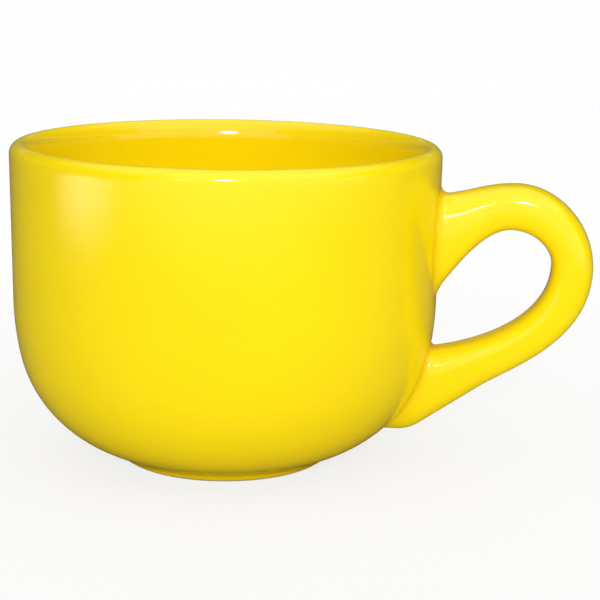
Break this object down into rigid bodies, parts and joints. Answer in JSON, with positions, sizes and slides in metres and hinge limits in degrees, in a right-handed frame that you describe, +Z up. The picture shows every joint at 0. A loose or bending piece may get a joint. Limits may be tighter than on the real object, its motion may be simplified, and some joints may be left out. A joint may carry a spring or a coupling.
{
  "type": "latte cup",
  "caption": "Wide round glazed stoneware cup for latte or soup, with a full-round lip, a low foot ring and a loop handle luted to its side.",
  "frame": {"origin": "middle of the foot ring, on the table that the cup stands on, on the axis of the cup", "axes": "+Z up along the axis of the cup, +X towards the handle; the XZ plane is the mirror plane of the cup and of its handle"},
  "size_m": [0.1461, 0.108, 0.0806],
  "materials": {
    "clay": "bare fired stoneware, matt and faintly gritty",
    "slip": "fired clay slip, matt",
    "glaze": "bright yellow gloss glaze"
  },
  "bodies": {
    "root": {"cup_body": "clay", "handle": "clay", "upper_slip_joint": "slip", "lower_slip_joint": "slip", "inside_glaze": "glaze", "outside_glaze": "glaze", "handle_glaze": "glaze", "base_glaze": "glaze"}
  },
  "joints": []
}
